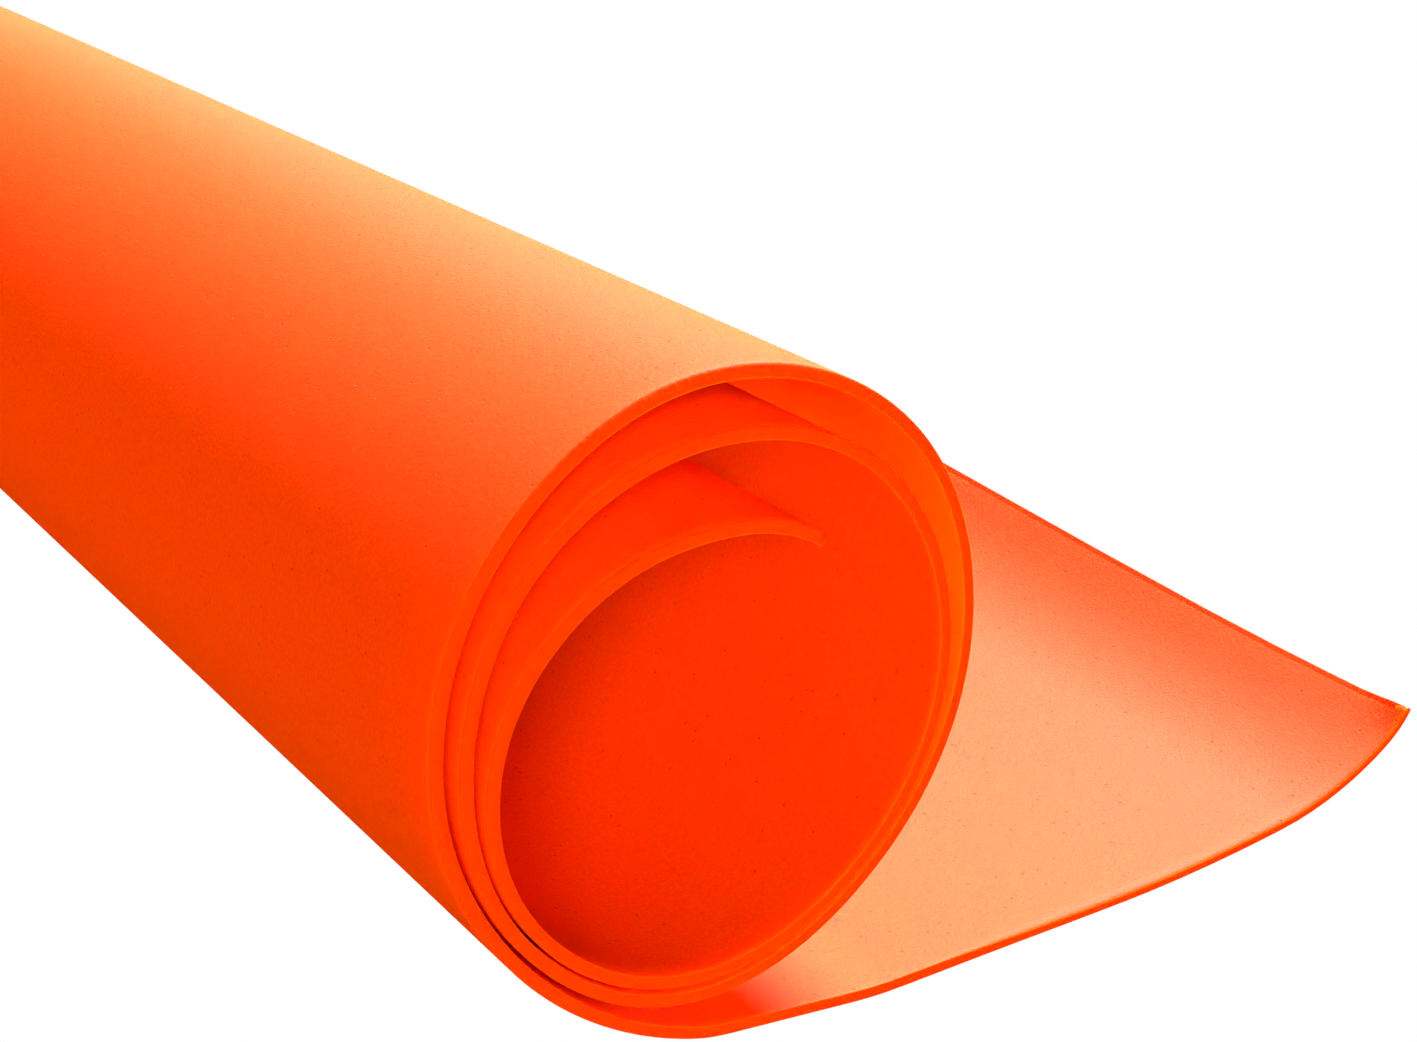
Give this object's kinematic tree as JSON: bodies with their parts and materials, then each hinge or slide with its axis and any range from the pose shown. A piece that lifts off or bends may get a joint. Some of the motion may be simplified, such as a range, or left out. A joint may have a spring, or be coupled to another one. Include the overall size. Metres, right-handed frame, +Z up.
{
  "type": "craft foam sheet",
  "caption": "Thin craft foam sheet, loosely rolled into an open coil, with its outer end lying out on the floor and curling up.",
  "frame": {"origin": "bottom middle of the sheet's box as it lies, on the floor", "axes": "+Z up, the roll lies along Y with the end in view at low Y, and the loose end runs out towards +X"},
  "size_m": [0.2148, 0.6, 0.1122],
  "materials": {
    "craft_foam": "closed-cell foam with a soft matt skin, bright orange right through"
  },
  "bodies": {
    "root": {"foam_sheet": "craft_foam"}
  },
  "joints": []
}
